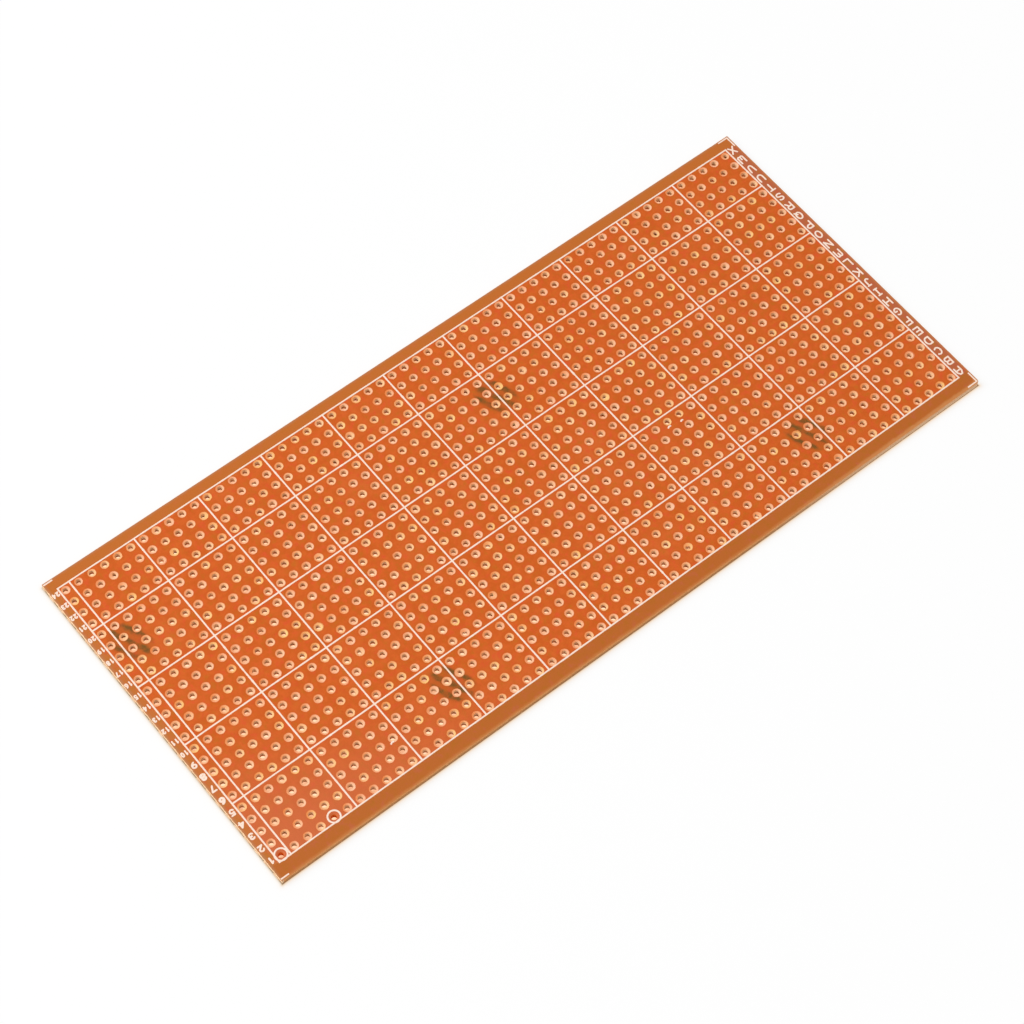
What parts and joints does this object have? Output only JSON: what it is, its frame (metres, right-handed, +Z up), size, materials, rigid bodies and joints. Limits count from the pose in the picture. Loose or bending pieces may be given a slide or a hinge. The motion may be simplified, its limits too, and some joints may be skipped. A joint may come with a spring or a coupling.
{
  "type": "prototype board",
  "caption": "Phenolic-paper prototype board with a 2.54 mm grid of punched lead holes, copper rings and rails beneath and white guide lines on top.",
  "frame": {"origin": "on the surface the copper side rests on, under the middle of the sheet", "axes": "+X along the length, from the row-number end to the row-letter end; +Y across, from the first row to the last; +Z up, out of the component side"},
  "size_m": [0.1454, 0.0652, 0.0013],
  "materials": {
    "laminate": "satin orange-brown phenolic paper, pale round the punched holes",
    "copper": "bright copper foil under a thin flux lacquer",
    "ink": "screen-printed white ink"
  },
  "bodies": {
    "root": {"laminate": "laminate", "copper_rings": "copper", "rail_front": "copper", "rail_back": "copper", "guide_print": "ink"}
  },
  "joints": []
}
